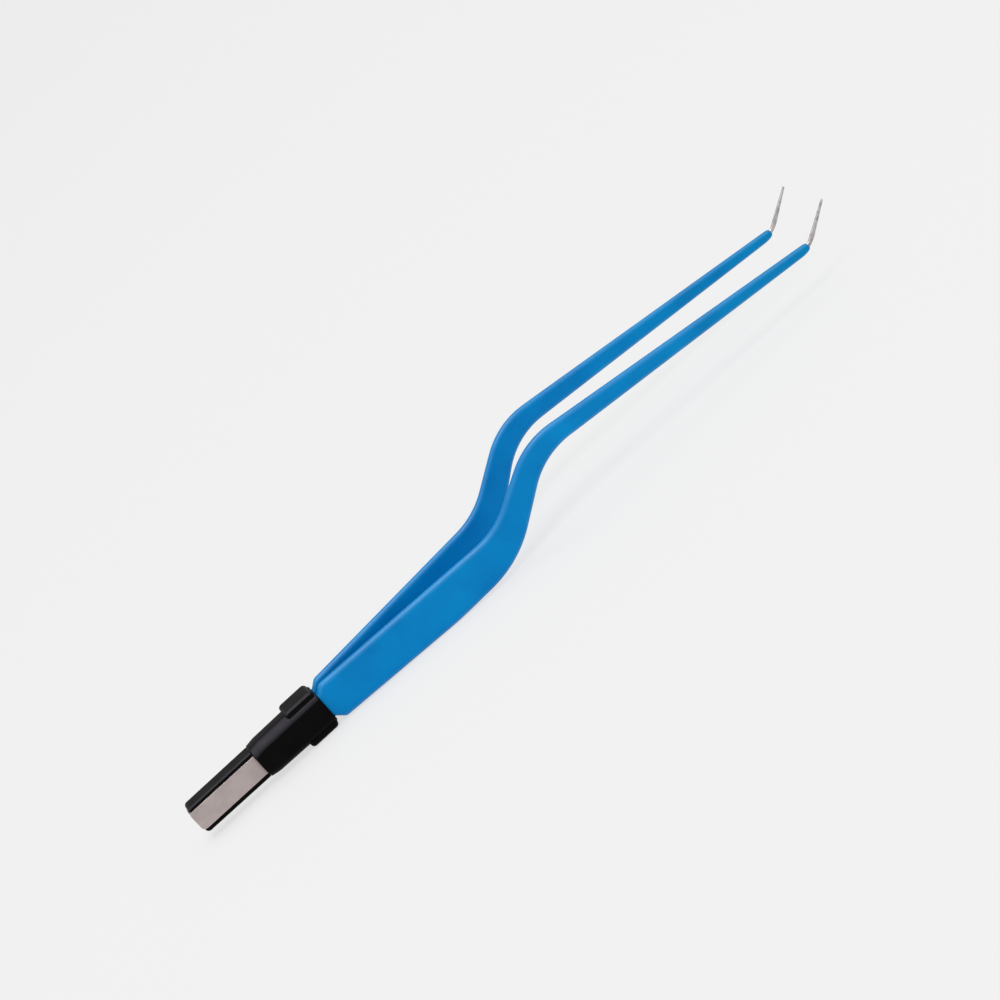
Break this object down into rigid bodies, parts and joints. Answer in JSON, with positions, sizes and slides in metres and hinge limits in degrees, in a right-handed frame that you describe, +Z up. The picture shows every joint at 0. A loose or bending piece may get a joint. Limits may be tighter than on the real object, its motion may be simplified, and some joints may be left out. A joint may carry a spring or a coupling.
{
  "type": "bipolar forceps",
  "caption": "Bayonet-shaped bipolar forceps with insulated spring arms, bare upturned tips and a flat-bladed plug at the rear end.",
  "frame": {"origin": "on the floor under the middle of the forceps, which stand on the lower ear of the plug and on the lower edges of both arms", "axes": "+X towards the tips, +Y towards the left arm, +Z up towards the side of the bayonet step"},
  "size_m": [0.2002, 0.0212, 0.0222],
  "materials": {
    "steel": "satin",
    "insulation": "semi-gloss coating",
    "contact_metal": "satin",
    "black_plastic": "satin moulded"
  },
  "bodies": {
    "plug": {"plug_housing": "black_plastic", "contact_spacer": "black_plastic", "left_contact_blade": "contact_metal", "right_contact_blade": "contact_metal"},
    "left_arm_body": {"left_arm": "steel", "left_insulation": "insulation"},
    "right_arm_body": {"right_arm": "steel", "right_insulation": "insulation"}
  },
  "joints": [
    {"name": "left_arm_flex", "type": "hinge", "parent": "plug", "child": "left_arm_body", "pos_m": [-0.06238, 0.00153, 0.00565], "axis": [-0.0131, 0, -0.9999], "range_deg": [0, 3.45], "stiffness_Nm_per_rad": 2},
    {"name": "right_arm_flex", "type": "hinge", "parent": "plug", "child": "right_arm_body", "pos_m": [-0.06238, -0.00153, 0.00565], "axis": [0.0131, 0, 0.9999], "range_deg": [0, 3.45], "stiffness_Nm_per_rad": 2}
  ]
}
